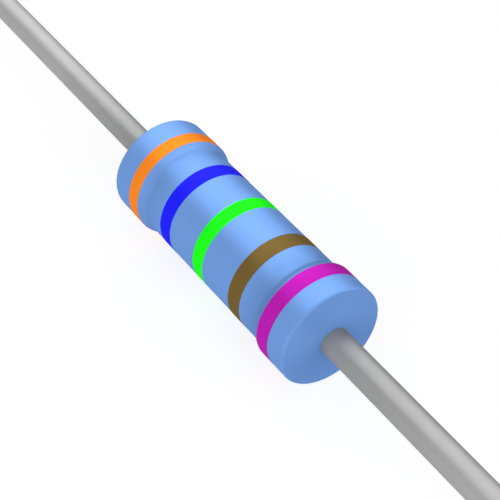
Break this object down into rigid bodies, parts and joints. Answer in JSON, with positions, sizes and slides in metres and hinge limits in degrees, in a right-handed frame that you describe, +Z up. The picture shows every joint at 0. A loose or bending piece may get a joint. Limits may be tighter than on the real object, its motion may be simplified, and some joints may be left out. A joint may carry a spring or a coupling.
{
  "type": "axial resistor",
  "caption": "Through-hole axial resistor with a waisted blue lacquered body, colour bands and straight tinned wire leads.",
  "frame": {"origin": "on the axis of the part, at the middle of the lacquered body and so midway between the two lead tips", "axes": "+X along the leads, from the end with the first band, orange, to the end with the last band, violet; +Z up, and the part is the same all round the X axis"},
  "size_m": [0.026, 0.0022, 0.0022],
  "materials": {
    "lacquer": "light blue epoxy lacquer, satin",
    "ink_orange": "orange marking ink",
    "ink_blue": "blue marking ink",
    "ink_green": "green marking ink",
    "ink_brown": "brown marking ink",
    "ink_violet": "violet marking ink",
    "tinned_wire": "tinned copper wire, satin",
    "cap_steel": "tin-plated steel, bright",
    "alumina": "fired ceramic, matt white",
    "film": "sputtered nickel-chromium film, dull grey"
  },
  "bodies": {
    "root": {"ceramic_core": "alumina", "resistive_film": "film", "end_cap_left": "cap_steel", "end_cap_right": "cap_steel", "lead_left": "tinned_wire", "lead_right": "tinned_wire", "lacquer_coat": "lacquer", "band_1_orange": "ink_orange", "band_2_blue": "ink_blue", "band_3_green": "ink_green", "band_4_brown": "ink_brown", "band_5_violet": "ink_violet"}
  },
  "joints": []
}
